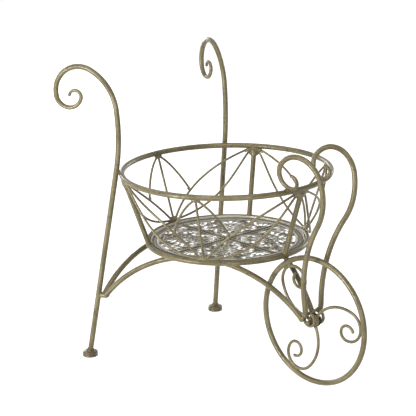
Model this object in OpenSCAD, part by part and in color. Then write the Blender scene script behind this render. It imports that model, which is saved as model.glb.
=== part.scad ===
// Wheelbarrow planter: a plant stand bent up from round bar and wire.
// +X points forward to the wheel, +Y to the left, +Z up; the origin is on the floor under the
// middle of the whole stand.

/* [Basket] */
// Radius of the top rim, to the middle of its bar
rim_radius = 170; // [160:1:185]
// Height of the top rim, to the middle of its bar
rim_height = 322; // [300:0.5:345]
// Radius of the base ring, to the middle of its bar
ring_radius = 131; // [125:0.5:134]
// Height of the base ring, to the middle of its bar
ring_height = 205.5; // [204:0.5:225]
// Diameter of the bar in the rings, legs, forks and arches
bar_d = 9; // [7:0.5:10]
// Diameter of the three straight ribs
rib_d = 8.5; // [6:0.5:10]
// Diameter of the thin basket wires
wire_d = 3.8; // [3:0.2:4.4]
// Turn of the ribs and wires round the basket, away from the line of travel
basket_turn = -3; // [-10:0.5:10]

/* [Tray] */
// Thickness of the pressed sheet
sheet_t = 1.2; // [0.8:0.1:2]
// Height of the turned-up lip, from under the sheet
lip_height = 5; // [3:0.5:8]
// Width of the plain border inside the lip
border_w = 13; // [9:0.5:16]
// Diameter of the half-round ridges that cross the tray
ridge_d = 4; // [3:0.5:5]
// Turn of the ridges away from the line of travel
tray_turn = -4.5; // [-10:0.5:10]

/* [Legs] */
// Distance of each leg's upright plane from the middle of the basket
leg_offset = 66; // [55:0.5:70]
// Angle at which that plane splays outwards
leg_splay = 24; // [18:0.25:28]
// Angle at which the leg leans in towards the rim
leg_lean = 10.6; // [8:0.1:13]
// Height above the rim at which the handle starts to bend
handle_start = 4; // [0:1:20]
// Radius of the first, gentle bend of the handle
handle_r1 = 340; // [300:5:360]
// Radius of the second bend
handle_r2 = 82; // [70:1:90]
// Radius over the top of the handle
handle_r3 = 42.5; // [38:0.5:48]
// Radius at the start of the forged curl
curl_r1 = 22.5; // [20:0.5:24]
// Radius at the tip of the forged curl
curl_r2 = 10.5; // [9:0.5:11]
// Diameter to which the forged curls are drawn down at their tips
tip_d = 5; // [4:0.5:7]
// Diameter of the foot pads
foot_d = 26; // [20:1:34]
// Height of the foot pads
foot_h = 12; // [8:0.5:14]
// Depth of the leg's socket in the foot pad
foot_socket = 4; // [3:0.5:4.5]

/* [Braces] */
// Height of the stub bars that carry the arches
stub_height = 110; // [90:1:120]
// Length of the stub bars, from the middle of the leg
stub_length = 16; // [15:0.5:24]
// Rise of the side arches above the line between their ends
side_rise = 83.5; // [70:0.5:86]
// Rise of the rear arch above the line between its ends
rear_rise = 66; // [60:1:85]

/* [Wheel] */
// Distance from the middle of the basket forward to the axle
wheel_reach = 185.5; // [182.5:0.5:200]
// Radius of the wheel, to the middle of its bar
wheel_radius = 102.2; // [90:0.1:103]
// Diameter of the wheel's bar
wheel_bar_d = 9; // [7:0.5:10]
// Diameter of the scroll spokes
spoke_d = 5; // [4:0.5:6]
// Outer diameter of the hub tube
hub_d = 18; // [15:0.5:20]
// Length of the hub tube
hub_length = 8; // [6:0.5:10]

/* [Axle] */
// Diameter of the axle pin
axle_d = 7; // [5:0.5:8]
// Length of the axle pin beyond the outside of each eye
axle_end = 1.5; // [0.5:0.5:3]
// Distance of each eye from the middle of the wheel, to the middle of its rod
eye_offset = 11; // [11:0.5:14]
// Radius of the eyes, to the middle of their rod
eye_radius = 10.5; // [8:0.5:12]
// Diameter of the eyes' rod
eye_rod_d = 5; // [4:0.5:6]
// Wall of the sleeves that keep the wheel central
sleeve_wall = 1.4; // [1:0.1:2]
// Thickness of the dark washer beside the hub
washer_t = 1.2; // [0.8:0.1:1.6]
// Outer diameter of the dark washer
washer_d = 21; // [19:0.5:24]

/* [Fork] */
// Angle at which the fork bars spread upwards
fork_lean = 5.5; // [4:0.25:7]
// Distance behind the axle at which the fork bars meet the eyes
fork_back = 3; // [1:0.5:6]
// Height of the foot of the fork bars above the axle
fork_foot = 8.5; // [7:0.5:10]
// Distance forward from the middle of the rim's bar to where the fork's scroll rests
fork_rest = 8; // [4:0.5:9]

/* [Fits] */
// Gap left at each joint for the weld
weld_gap = 0.2; // [0.1:0.05:0.4]
// Radial play of the hub on the axle
axle_play = 0.08; // [0.03:0.01:0.1]
// End play of the hub between its sleeves, on each side
end_play = 0.25; // [0.1:0.05:0.5]

/* [Hidden] */
SIDES = ["left", "right"];
$fn = 64;

bronze = [0.56, 0.52, 0.40];
pewter = [0.47, 0.46, 0.43];
dark = [0.12, 0.12, 0.12];

// A bent bar is drawn a hair thinner at each bend, and each length starts a lap inside the last
hair = 0.1;
lap = 0.4;

bar_r = bar_d / 2;
curl_r = (bar_d - 4 * hair) / 2;
rib_r = rib_d / 2;
wire_r = wire_d / 2;
axle_r = axle_d / 2;
wheel_bar_r = wheel_bar_d / 2;
spoke_r = spoke_d / 2;
eye_rod_r = eye_rod_d / 2;

// The basket's side is a cone between the two rings
side_run = rim_radius - ring_radius;
side_drop = rim_height - ring_height;
side_length = norm([side_run, side_drop]);
panel_turn = 60;

// The axle is welded to the lowest inside point of both eyes
axle_height = wheel_radius + wheel_bar_r;
eye_height = axle_height + eye_radius - eye_rod_r - axle_r;

// A leg passes the rim on its outside, so its line is found from there
leg_reach = sqrt(pow(rim_radius + (2 * bar_r + weld_gap) / cos(leg_lean), 2) - pow(leg_offset, 2));
leg_foot_z = foot_h - foot_socket;
leg_length = (rim_height + handle_start - leg_foot_z) / cos(leg_lean);
leg_at = [leg_along(leg_foot_z), leg_foot_z, 90 + leg_lean];
leg_bends = [[leg_length, 0], [handle_r1, -17], [handle_r2, -55.5], [handle_r3, -127.5]];
curl_bends = [[curl_r1, -150], [curl_r2, -195.5]];
curl_at = bar_end(leg_at, leg_bends);

// The fork bar's shape as it is bent before it is fitted
fork_shape = [[31, 23], [222, -37.5], [90.5, 47.5], [43, 127]];
fork_curl_shape = [[22, 138], [10, 182]];
fork_heading = 71;
fork_y = eye_offset + eye_rod_r + bar_r + weld_gap;
fork_at = [wheel_reach - fork_back, eye_height + fork_foot];

// The start of the curl rests on the rim. Middle of that loop in the flat pattern, and where it
// has to be
loop_from = bar_end([0, 0, fork_heading], fork_shape);
loop_mid = bend_middle(loop_from, fork_curl_shape[0]);
loop_share = (360 - loop_from[2]) / fork_curl_shape[0][1];
rest_gap = bar_r + curl_radius(fork_curl_shape, 0, loop_share) + weld_gap;
rest_y = fork_y + (rim_height + rest_gap - fork_at[1]) * tan(fork_lean);
rest_x = sqrt(pow(rim_radius, 2) - pow(rest_y, 2)) + fork_rest;
fork_size = fitted_size(1, 6);
fork_turn = atan2(fitted_rise(fork_size), rest_x - fork_at[0]) - atan2(loop_mid[1], loop_mid[0]);
fork_bends = [for (b = fork_shape) [b[0] * fork_size, b[1]]];
fork_curl = [for (b = fork_curl_shape) [b[0] * fork_size, b[1]]];
fork_start = [0, 0, fork_heading + fork_turn];

// The spoke's scroll, as shares of its reach; it is fitted to touch the inside of the wheel
spoke_shape = [[0.65, -75], [0.28, -60], [0.25, -116], [0.13, -121], [0.13, -121]];
spoke_from = hub_d / 2 + weld_gap;
spoke_angle = 51;
spoke_heading = 55.5;
spoke_touch = wheel_radius - wheel_bar_r - spoke_r - weld_gap;
spoke_size = spoke_fit(90, 8);

// Overall length, to put the origin under the middle
front_x = wheel_reach + wheel_radius + wheel_bar_r;
curl_back = bend_middle(bar_end(leg_at, [for (i = [0 : 2]) leg_bends[i]]), leg_bends[3])[0];
rear_x = leg_point([curl_back + handle_r3, 0])[0] - bar_r + 1.5 * hair;
middle_x = (front_x + rear_x) / 2;

// Where each length of a bent bar starts, as [x, y, heading]. Each length is [radius, turn], or
// [length, 0] where it is straight
function bar_states(at, bends, i = 0) =
    i == len(bends) ? [at] : concat([at], bar_states(bar_next(at, bends[i]), bends, i + 1));

function bar_end(at, bends) = bar_states(at, bends)[len(bends)];

function bend_middle(at, bend) =
    [at[0], at[1]] + sign(bend[1]) * bend[0] * [-sin(at[2]), cos(at[2])];

function bar_next(at, bend) =
    bend[1] == 0
    ? [at[0] + bend[0] * cos(at[2]), at[1] + bend[0] * sin(at[2]), at[2]]
    : let (heading = at[2] + bend[1],
           p = bend_middle(at, bend) - sign(bend[1]) * bend[0] * [-sin(heading), cos(heading)])
      [p[0], p[1], heading];

// Distance out along a leg's plane at height z
function leg_along(z) = leg_reach + (rim_height - z) * tan(leg_lean);

// A point in the right leg's plane, [along, height], as a point of the stand
function leg_point(p) =
    [-leg_offset * -sin(leg_splay) - p[0] * cos(leg_splay),
     -leg_offset * cos(leg_splay) - p[0] * sin(leg_splay), p[1]];

// Radius of a curl at a share of the way along its first or second bend
function curl_radius(bends, i, share) =
    let (first = bends[0][0] * bends[0][1],
         second = bends[1][0] * bends[1][1],
         gone = i == 0 ? first * share : first + second * share)
    curl_r + (tip_d / 2 - curl_r) * gone / (first + second);

// The rise to the middle of the fork's loop, and the size at which it comes to rest on the rim
function fitted_rise(size) =
    let (reach = size * fork_curl_shape[0][0] * cos(fork_lean) + rest_gap)
    (rim_height - fork_at[1] + sqrt(pow(reach, 2) - pow(fork_rest, 2))) / cos(fork_lean);

function fitted_size(size, tries) =
    tries == 0
    ? size
    : fitted_size(norm([rest_x - fork_at[0], fitted_rise(size)]) / norm(loop_mid), tries - 1);

// The farthest that a spoke of a given size reaches from the hub's middle
function spoke_at() =
    [spoke_from * cos(spoke_angle), spoke_from * sin(spoke_angle), spoke_heading];

function spoke_bends(size) = [for (b = spoke_shape) [b[0] * size, b[1]]];

function spoke_reach(size) =
    let (bends = spoke_bends(size), from = bar_end(spoke_at(), [bends[0], bends[1]]))
    norm(bend_middle(from, bends[2])) + bends[2][0];

function spoke_fit(size, tries) =
    tries == 0 ? size : spoke_fit(size * spoke_touch / spoke_reach(size), tries - 1);

// A point on the basket's side, from its angle round the basket and its share of the way up
function side_point(p) =
    let (r = ring_radius + side_run * p[1])
    [r * cos(p[0]), r * sin(p[0]), ring_height + side_drop * p[1]];

// Share of the way up, and angle round the basket, that a length makes
function up(length) = length / side_length;

function round_by(length, radius) = length / radius * 180 / PI;

function curve_point(p, s) =
    len(p) == 1 ? p[0] : curve_point([for (i = [1 : len(p) - 1]) p[i - 1] * (1 - s) + p[i] * s], s);

// The wires' ends clear the rings, the ribs and each other by the weld gap
top_share = 1 - up(bar_r + 0.9 * wire_r + weld_gap);
skirt_from = round_by(rib_r + wire_r + weld_gap, rim_radius);
cross_from = skirt_from + round_by(3 * wire_r + weld_gap, rim_radius);
cross_to = panel_turn - round_by(1.9 * wire_r + weld_gap, ring_radius);
skirt_to = cross_to - round_by(2.7 * wire_r + weld_gap, ring_radius);
cross_share = up(bar_r + 0.75 * wire_r + weld_gap);
skirt_share = up(bar_r + wire_r + weld_gap);
hoop_from = panel_turn - round_by(1.65 * wire_r + weld_gap, rim_radius);
hoop_share = 1 - up(bar_r + wire_r + weld_gap);

// Each wire's curve on the basket's side, from the rib to the middle of the panel
cross_curve = [[cross_from, top_share], [38.5, 0.57], [cross_to, cross_share]];
skirt_curve = [[skirt_from, top_share], [9.5, 0.74], [17.5, 0.11], [skirt_to, skirt_share]];
hoop_meets = curve_point(cross_curve, 0.635);
hoop_end = hoop_meets + [round_by(0.5 * wire_r, ring_radius), up(1.75 * wire_r + weld_gap)];
hoop_curve = [[hoop_from, hoop_share], [52, 0.83], hoop_end];

// A round bar bent in the XY plane from its list of bends
module bent_bar(d, at, bends) {
    states = bar_states(at, bends);
    for (i = [0 : len(bends) - 1]) {
        turn = bends[i][1];
        heading = states[i][2];
        thinned = d - i * hair;
        back = i == 0 ? 0 : lap;
        if (turn == 0) {
            translate([states[i][0], states[i][1], 0])
                rotate([0, 0, heading])
                    rotate([0, 90, 0])
                        translate([0, 0, -back])
                            cylinder(h = bends[i][0] + back, d = thinned);
        } else {
            middle = bend_middle(states[i], bends[i]);
            extra = round_by(back, bends[i][0]);
            translate([middle[0], middle[1], 0])
                rotate([0, 0, turn > 0 ? heading - 90 - extra : heading + 90 + turn])
                    rotate_extrude(angle = abs(turn) + extra, $fn = 96)
                        translate([bends[i][0], 0])
                            circle(d = thinned, $fn = 32);
        }
    }
}

// A tube swept through points, with a radius and an outward direction at each
module swept_tube(path, radii, outward, sides) {
    last = len(path) - 1;
    rings = [for (i = [0 : last])
        let (ahead = path[min(i + 1, last)] - path[max(i - 1, 0)],
             t = ahead / norm(ahead),
             side = cross(outward[i], t),
             a = side / norm(side),
             b = cross(t, a))
        [for (k = [0 : sides - 1])
            path[i] + radii[i] * (a * cos(360 * k / sides) + b * sin(360 * k / sides))]];
    faces = concat(
        [[for (k = [0 : sides - 1]) k]],
        [[for (k = [0 : sides - 1]) last * sides + sides - 1 - k]],
        [for (i = [0 : last - 1]) for (k = [0 : sides - 1])
            let (m = (k + 1) % sides) [i * sides + k, (i + 1) * sides + m, i * sides + m]],
        [for (i = [0 : last - 1]) for (k = [0 : sides - 1])
            let (m = (k + 1) % sides) [i * sides + k, (i + 1) * sides + k, (i + 1) * sides + m]]);
    polyhedron(points = [for (ring = rings) each ring], faces = faces, convexity = 8);
}

// A curl in the XY plane, drawn down to a thin tip over its whole length
module forged_curl(at, bends) {
    step = 11;
    states = bar_states(at, bends);
    start = bar_next(at, [-lap, 0]);
    path = concat([[start[0], start[1], 0, curl_r]], [for (i = [0 : 1])
        let (steps = ceil(abs(bends[i][1]) / step))
        for (k = [1 : steps])
            let (share = k / steps,
                 p = bar_next(states[i], [bends[i][0], bends[i][1] * share]))
            [p[0], p[1], 0, curl_radius(bends, i, share)]]);
    swept_tube([for (p = path) [p[0], p[1], 0]], [for (p = path) p[3]],
               [for (p = path) [0, 0, 1]], 16);
}

// A horizontal ring of round bar
module bar_ring(radius, d, height) {
    translate([0, 0, height])
        rotate_extrude($fn = 128)
            translate([radius, 0])
                circle(d = d, $fn = 32);
}

// Moves what is drawn about the middle of the basket to the part's own origin
module placed() {
    translate([-middle_x, 0, 0])
        children();
}

module on_side(side) {
    mirror([0, side == "left" ? 1 : 0, 0])
        children();
}

// The right leg's upright plane, with its X outwards along the plane
module leg_plane() {
    translate(leg_point([0, 0]))
        rotate([0, 0, 180 + leg_splay])
            rotate([90, 0, 0])
                children();
}

module upper_rim() {
    color(bronze)
        placed()
            bar_ring(rim_radius, bar_d, rim_height);
}

module lower_ring() {
    color(bronze)
        placed()
            bar_ring(ring_radius, bar_d, ring_height);
}

// A straight bar down the basket's side, its ends shaped to sit on the two rings
module side_bar(angle, d) {
    color(bronze)
        placed()
            rotate([0, 0, angle + basket_turn])
                difference() {
                    translate([ring_radius, 0, ring_height])
                        rotate([0, atan2(side_run, side_drop), 0])
                            cylinder(h = side_length, d = d);
                    bar_ring(ring_radius, bar_d + 2 * weld_gap, ring_height);
                    bar_ring(rim_radius, bar_d + 2 * weld_gap, rim_height);
                }
}

// A pair of wires, mirrored about the middle of the panel
module wire_pair(middle, curve, steps) {
    color(bronze)
        placed()
            for (way = [-1, 1]) {
                path = [for (i = [0 : steps])
                    let (p = curve_point(curve, i / steps))
                    side_point([middle + basket_turn + way * (panel_turn - p[0]), p[1]])];
                swept_tube(path, [for (p = path) wire_r], [for (p = path) [p[0], p[1], 0]], 8);
            }
}

// The lace is drawn flat, for a field 100 mm in radius, and scaled to the tray. A leaf is an
// opening pointed at both ends along the X axis, from a distance out
module leaf(from, length, width) {
    r = (pow(length / 2, 2) + pow(width / 2, 2)) / width;
    translate([from + length / 2, 0])
        intersection() {
            translate([0, r - width / 2])
                circle(r = r);
            translate([0, width / 2 - r])
                circle(r = r);
        }
}

module fan(count, spread, from, length, width) {
    for (i = [0 : count - 1])
        rotate(spread * (i / (count - 1) - 0.5))
            leaf(from, length, width);
}

// A point at a distance from a state [x, y, heading], at an angle from its heading
function beside(state, angle, distance) =
    [state[0] + distance * cos(state[2] + angle), state[1] + distance * sin(state[2] + angle)];

// An opening of even width with rounded ends, along a list of bends
module slot(at, bends, width, step) {
    r = width / 2;
    states = bar_states(at, bends);
    path = concat([at], [for (i = [0 : len(bends) - 1])
        let (steps = ceil(abs(bends[i][1]) / step))
        for (k = [1 : steps]) bar_next(states[i], [bends[i][0], bends[i][1] * k / steps])]);
    last = len(path) - 1;
    polygon(concat([for (i = [0 : last]) beside(path[i], -90, r)],
                   [for (a = [-45 : 45 : 45]) beside(path[last], a, r)],
                   [for (i = [last : -1 : 0]) beside(path[i], 90, r)],
                   [for (a = [135 : 45 : 225]) beside(path[0], a, r)]));
}

// An S-shaped opening about the origin
module scroll(radius, width) {
    turn = 215;
    end = bar_next([0, 0, 90], [radius, -turn]);
    slot([-end[0], -end[1], end[2]], [[radius, turn], [radius, -turn]], width, 31);
}

// A curved slot about the origin, centred on the X axis
module arc_slot(radius, half_turn, width, step) {
    slot([radius * cos(half_turn), -radius * sin(half_turn), 90 - half_turn],
         [[radius, 2 * half_turn]], width, step);
}

module rosette() {
    circle(r = 2.6);
    for (a = [45 : 90 : 315])
        rotate(a)
            arc_slot(6.9, 26, 2.8, 18);
    for (a = [0 : 40 : 320])
        rotate(a)
            leaf(10, 6, 3.6);
}

// One quarter of the lace, the same on both sides of its diagonal
module lace_quarter() {
    rotate(45) {
        translate([10, 0])
            fan(5, 106, 6.5, 14, 4.4);
        leaf(33, 9, 5);
        translate([57, 0])
            rosette();
        translate([73.5, 0])
            fan(5, 140, 5.5, 13.5, 4.5);
        arc_slot(96.2, 8, 2.8, 4);
    }
    for (way = [0, 1])
        mirror([way, -way]) {
            translate([44.5, 17.6])
                rotate(-6)
                    scroll(4.4, 3.1);
            translate([66, 24.6])
                rotate(76)
                    scroll(4.6, 3.1);
            translate([83.2, 37.4])
                rotate(65)
                    scroll(4.2, 3);
            translate([75, 8.2])
                rotate(38)
                    fan(4, 76, 7, 13, 4);
            translate([27, 9])
                rotate(12)
                    leaf(0, 10, 4.4);
            translate([54.5, 9.6])
                rotate(10)
                    leaf(0, 12, 4.4);
            translate([60.5, 40])
                rotate(-48)
                    leaf(0, 7, 3.6);
            rotate(17)
                arc_slot(96.2, 3.2, 2.8, 4);
        }
}

module tray() {
    outer = ring_radius - bar_r - weld_gap;
    field = outer - border_w;
    color(pewter)
        placed()
            translate([0, 0, ring_height - sheet_t])
                rotate([0, 0, tray_turn]) {
                    difference() {
                        cylinder(h = lip_height, r = outer, $fn = 128);
                        translate([0, 0, sheet_t])
                            cylinder(h = lip_height, r = outer - sheet_t, $fn = 128);
                        for (quarter = [0 : 90 : 270])
                            rotate([0, 0, quarter])
                                translate([0, 0, -sheet_t])
                                    linear_extrude(3 * sheet_t)
                                        scale(field / 100)
                                            lace_quarter();
                    }
                    for (turn = [0, 90])
                        rotate([0, 0, turn])
                            ridge(2 * field);
                }
}

// A raised half-round across the tray, its lower part buried in the sheet
module ridge(length) {
    intersection() {
        translate([-length / 2, 0, sheet_t])
            rotate([0, 90, 0])
                cylinder(h = length, d = ridge_d);
        translate([-length, -ridge_d, sheet_t / 2])
            cube([2 * length, 2 * ridge_d, ridge_d]);
    }
}

module leg(side) {
    color(bronze)
        placed()
            on_side(side)
                leg_plane() {
                    bent_bar(bar_d, leg_at, leg_bends);
                    forged_curl(curl_at, curl_bends);
                }
}

// A foot pad with a bevelled top and a socket for the leg
module foot(side) {
    bevel = foot_h / 4;
    middle = leg_point([leg_along(foot_h / 2), 0]);
    color(bronze)
        placed()
            on_side(side)
                difference() {
                    translate(middle) {
                        cylinder(h = foot_h - 2 * bevel, d = foot_d);
                        translate([0, 0, foot_h - 2 * bevel])
                            cylinder(h = bevel, d1 = foot_d, d2 = foot_d - 3 * bevel);
                        cylinder(h = foot_h, d = bar_d + 3 * bevel);
                    }
                    leg_plane()
                        translate([leg_at[0], leg_at[1] - weld_gap, 0])
                            rotate([0, 0, leg_at[2]])
                                rotate([0, 90, 0])
                                    cylinder(h = 2 * foot_h, d = bar_d + 2 * weld_gap);
                }
}

// The straight line of a leg, thickened by the weld gap, to cut what is welded to it
module leg_cutter() {
    leg_plane()
        bent_bar(bar_d + 2 * weld_gap, leg_at, [leg_bends[0]]);
}

module stub_bar(d) {
    leg_plane()
        translate([leg_along(stub_height), stub_height, 0])
            rotate([0, -90, 0])
                cylinder(h = stub_length, d = d);
}

module stub(side) {
    color(bronze)
        placed()
            on_side(side)
                difference() {
                    stub_bar(bar_d);
                    leg_cutter();
                }
}

// A bar that rises and falls in one arc of a circle from one point to another
module arch_bar(from, to, rise, d) {
    span = norm([to[0] - from[0], to[1] - from[1]]);
    level = atan2(to[2] - from[2], span);
    chord = norm(to - from);
    radius = chord * chord / (8 * rise) + rise / 2;
    half = asin(chord / 2 / radius);
    translate(from)
        rotate([0, 0, atan2(to[1] - from[1], to[0] - from[0])])
            rotate([90, 0, 0])
                rotate([0, 0, level])
                    bent_bar(d, [0, 0, half], [[radius, -2 * half]]);
}

side_arch_from = leg_point([leg_along(stub_height) - stub_length + 0.6 * bar_r, stub_height]);
side_arch_to = [wheel_reach - eye_radius - eye_rod_r, -fork_y + bar_r, eye_height - 2];
rear_arch_from = leg_point([leg_along(stub_height) - 0.6 * stub_length, stub_height]);

module side_arch_bar(d) {
    arch_bar(side_arch_from, side_arch_to, side_rise, d);
}

module side_arch(side) {
    color(bronze)
        placed()
            on_side(side)
                difference() {
                    side_arch_bar(bar_d);
                    stub_bar(bar_d + 2 * weld_gap);
                    eye_ring(eye_rod_d + 2 * weld_gap);
                }
}

module rear_arch() {
    color(bronze)
        placed()
            difference() {
                arch_bar(rear_arch_from, [rear_arch_from[0], -rear_arch_from[1], stub_height],
                         rear_rise, bar_d);
                for (side = SIDES)
                    on_side(side) {
                        stub_bar(bar_d + 2 * weld_gap);
                        side_arch_bar(bar_d + 2 * weld_gap);
                        leg_cutter();
                    }
            }
}

module fork(side) {
    color(bronze)
        placed()
            on_side(side)
                translate([fork_at[0], -fork_y, fork_at[1]])
                    rotate([90 + fork_lean, 0, 0]) {
                        bent_bar(bar_d, fork_start, fork_bends);
                        forged_curl(bar_end(fork_start, fork_bends), fork_curl);
                    }
}

module eye_ring(d) {
    translate([wheel_reach, -eye_offset, eye_height])
        rotate([90, 0, 0])
            rotate_extrude()
                translate([eye_radius, 0])
                    circle(d = d, $fn = 32);
}

module eye(side) {
    color(bronze)
        placed()
            on_side(side)
                difference() {
                    eye_ring(eye_rod_d);
                    along_axle(axle_r + weld_gap, -2 * eye_offset, 2 * eye_offset);
                }
}

// A cylinder along the axle between two distances to the left of the wheel's middle
module along_axle(radius, from, to) {
    translate([wheel_reach, from, axle_height])
        rotate([-90, 0, 0])
            cylinder(h = to - from, r = radius);
}

module axle() {
    reach = eye_offset + eye_rod_r + axle_end;
    color(bronze)
        placed()
            along_axle(axle_r, -reach, reach);
}

// A sleeve between the hub and an eye, on the outside of the washer if there is one
module sleeve(side) {
    from = hub_length / 2 + end_play + (side == "left" ? washer_t + end_play : 0);
    to = eye_offset - eye_rod_r - weld_gap;
    color(bronze)
        placed()
            on_side(side)
                difference() {
                    along_axle(axle_r + axle_play + sleeve_wall, -to, -from);
                    along_axle(axle_r + axle_play, -2 * to, 0);
                }
}

module axle_washer() {
    from = hub_length / 2 + end_play;
    color(dark)
        placed()
            difference() {
                along_axle(washer_d / 2, from, from + washer_t);
                along_axle(axle_r + axle_play, 0, 2 * from + washer_t);
            }
}

module wheel_rim() {
    color(bronze)
        placed()
            translate([wheel_reach, 0, axle_height])
                rotate([90, 0, 0])
                    rotate_extrude($fn = 128)
                        translate([wheel_radius, 0])
                            circle(d = wheel_bar_d, $fn = 32);
}

module wheel_hub() {
    color(bronze)
        placed()
            difference() {
                along_axle(hub_d / 2, -hub_length / 2, hub_length / 2);
                along_axle(axle_r + axle_play, -hub_length, hub_length);
            }
}

module wheel_spoke(i) {
    color(bronze)
        placed()
            translate([wheel_reach, 0, axle_height])
                rotate([0, -120 * i, 0])
                    rotate([90, 0, 0])
                        bent_bar(spoke_d, spoke_at(), spoke_bends(spoke_size));
}

upper_rim();
lower_ring();
side_bar(0, rib_d);  // front_rib
side_bar(2 * panel_turn, rib_d);  // left_rib
side_bar(-2 * panel_turn, rib_d);  // right_rib
side_bar(panel_turn, wire_d);  // left_centre_wire
side_bar(-panel_turn, wire_d);  // right_centre_wire
side_bar(180, wire_d);  // rear_centre_wire
wire_pair(panel_turn, cross_curve, 10);  // left_cross_wires
wire_pair(-panel_turn, cross_curve, 10);  // right_cross_wires
wire_pair(180, cross_curve, 10);  // rear_cross_wires
wire_pair(panel_turn, hoop_curve, 9);  // left_hoop_wires
wire_pair(-panel_turn, hoop_curve, 9);  // right_hoop_wires
wire_pair(180, hoop_curve, 9);  // rear_hoop_wires
wire_pair(panel_turn, skirt_curve, 14);  // left_skirt_wires
wire_pair(-panel_turn, skirt_curve, 14);  // right_skirt_wires
wire_pair(180, skirt_curve, 14);  // rear_skirt_wires
tray();
leg("left");  // left_leg
leg("right");  // right_leg
foot("left");  // left_foot
foot("right");  // right_foot
stub("left");  // left_stub
stub("right");  // right_stub
rear_arch();
side_arch("left");  // left_arch
side_arch("right");  // right_arch
fork("left");  // left_fork
fork("right");  // right_fork
eye("left");  // left_eye
eye("right");  // right_eye
axle();
sleeve("left");  // left_sleeve
sleeve("right");  // right_sleeve
axle_washer();
wheel_rim();
wheel_hub();
wheel_spoke(0);  // wheel_spoke_1
wheel_spoke(1);  // wheel_spoke_2
wheel_spoke(2);  // wheel_spoke_3
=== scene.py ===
import math

import bmesh
import bpy
import numpy as np
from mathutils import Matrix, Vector, noise


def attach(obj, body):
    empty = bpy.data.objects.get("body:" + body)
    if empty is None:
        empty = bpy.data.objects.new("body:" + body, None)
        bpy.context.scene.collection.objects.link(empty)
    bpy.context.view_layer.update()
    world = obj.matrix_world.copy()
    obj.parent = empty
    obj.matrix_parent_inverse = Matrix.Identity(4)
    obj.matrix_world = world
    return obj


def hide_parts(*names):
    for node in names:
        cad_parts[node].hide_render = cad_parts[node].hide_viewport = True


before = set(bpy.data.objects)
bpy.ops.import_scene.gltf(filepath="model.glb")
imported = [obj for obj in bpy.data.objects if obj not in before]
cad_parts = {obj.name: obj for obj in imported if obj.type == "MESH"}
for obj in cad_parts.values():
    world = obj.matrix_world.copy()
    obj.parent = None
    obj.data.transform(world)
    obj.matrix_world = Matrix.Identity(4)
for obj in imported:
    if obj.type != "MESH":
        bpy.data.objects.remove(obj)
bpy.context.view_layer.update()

# Rim and base ring: two hoops of round mild steel bar, rolled and butt welded at the back. Like
# the rest of the stand they are brushed with bronze paint, rubbed back to a paler metal in small
# patches and left dark in the pits.
rim_radius, rim_height = 170.0, 322.0
ring_radius, ring_height = 131.0, 205.5
bar_radius = 4.5
basket_middle_x = 35.061
to_metres = 0.001


def patches(tree, vector, size, low, high, detail=2.0):
    """Soft patches about a size in millimetres: 0 where the noise is under low, 1 over high."""
    spots = tree.nodes.new("ShaderNodeTexNoise")
    spots.inputs["Scale"].default_value = 1 / (size * to_metres)
    spots.inputs["Detail"].default_value = detail
    tree.links.new(vector, spots.inputs["Vector"])
    levels = tree.nodes.new("ShaderNodeMapRange")
    levels.interpolation_type = "SMOOTHSTEP"
    levels.inputs["From Min"].default_value = low
    levels.inputs["From Max"].default_value = high
    tree.links.new(spots.outputs["Fac"], levels.inputs["Value"])
    return levels.outputs["Result"]


def between(tree, share, first, second):
    """A colour between two others, which are sockets or plain colours."""
    mix = tree.nodes.new("ShaderNodeMix")
    mix.data_type = "RGBA"
    tree.links.new(share, mix.inputs[0])
    for colour, socket in ((first, mix.inputs[6]), (second, mix.inputs[7])):
        if isinstance(colour, tuple):
            socket.default_value = (*colour, 1)
        else:
            tree.links.new(colour, socket)
    return mix.outputs[2]


def scaled(tree, value, factor, add=0.0):
    """A share turned into a value from add upwards."""
    sum_node = tree.nodes.new("ShaderNodeMath")
    sum_node.operation = "MULTIPLY_ADD"
    tree.links.new(value, sum_node.inputs[0])
    sum_node.inputs[1].default_value = factor
    sum_node.inputs[2].default_value = add
    return sum_node.outputs[0]


def raised(tree, heights):
    """A bump from (height share, depth in millimetres) pairs, the finest last."""
    normal = None
    for height, depth in heights:
        bump = tree.nodes.new("ShaderNodeBump")
        bump.inputs["Strength"].default_value = 1.0
        bump.inputs["Distance"].default_value = depth * to_metres
        tree.links.new(height, bump.inputs["Height"])
        if normal is not None:
            tree.links.new(normal, bump.inputs["Normal"])
        normal = bump.outputs["Normal"]
    return normal


def new_finish(name):
    """A new material, its node tree, its shader, and each point's place on the object."""
    finish = bpy.data.materials.new(name)
    finish.use_nodes = True
    tree = finish.node_tree
    place = tree.nodes.new("ShaderNodeTexCoord").outputs["Object"]
    return finish, tree, tree.nodes["Principled BSDF"], place


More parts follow.
